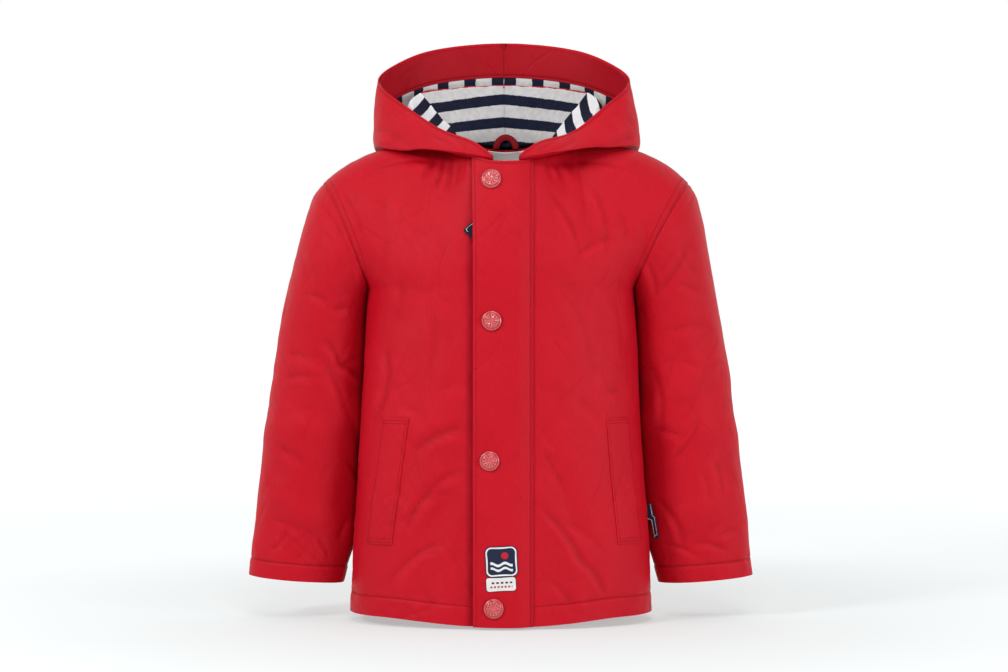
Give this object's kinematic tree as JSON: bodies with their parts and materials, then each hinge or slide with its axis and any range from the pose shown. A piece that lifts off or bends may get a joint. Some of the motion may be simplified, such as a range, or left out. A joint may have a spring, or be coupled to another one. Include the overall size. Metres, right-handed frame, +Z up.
{
  "type": "child's hooded rain jacket",
  "caption": "Child's hooded rain jacket filled out as if worn, hood down: coated cotton shell, striped hood lining, zip under a snapped storm flap, slanted welt pockets.",
  "frame": {"origin": "middle of the neck opening at the height of the shoulders' high points, where the wearer's neck and shoulders carry the jacket", "axes": "+Z up along the wearer's spine, -Y the way the closing faces, +X to the wearer's left"},
  "size_m": [0.464, 0.2085, 0.537],
  "materials": {
    "shell_red": "coated cotton, matt with a soft sheen",
    "stripe_cotton": "soft cotton jersey with woven navy and white stripes",
    "snap_red": "semi-gloss enamel",
    "navy_weave": "tight woven tape",
    "white_weave": "tight woven tape"
  },
  "bodies": {
    "root": {"front_left": "shell_red", "front_right": "shell_red", "back": "shell_red", "sleeve_left": "shell_red", "sleeve_right": "shell_red", "hood_left": "shell_red", "hood_right": "shell_red", "hood_facing_left": "shell_red", "hood_facing_right": "shell_red", "storm_flap": "shell_red", "zip_coil": "shell_red", "pocket_welt_left": "shell_red", "pocket_welt_right": "shell_red", "hanger_loop": "shell_red", "hood_lining_left": "stripe_cotton", "hood_lining_right": "stripe_cotton", "neck_lining": "stripe_cotton", "zip_slider": "snap_red", "snap_1": "snap_red", "snap_2": "snap_red", "snap_3": "snap_red", "snap_4": "snap_red", "zip_pull": "navy_weave", "badge": "navy_weave", "side_label": "navy_weave", "badge_tab": "white_weave"}
  },
  "joints": []
}
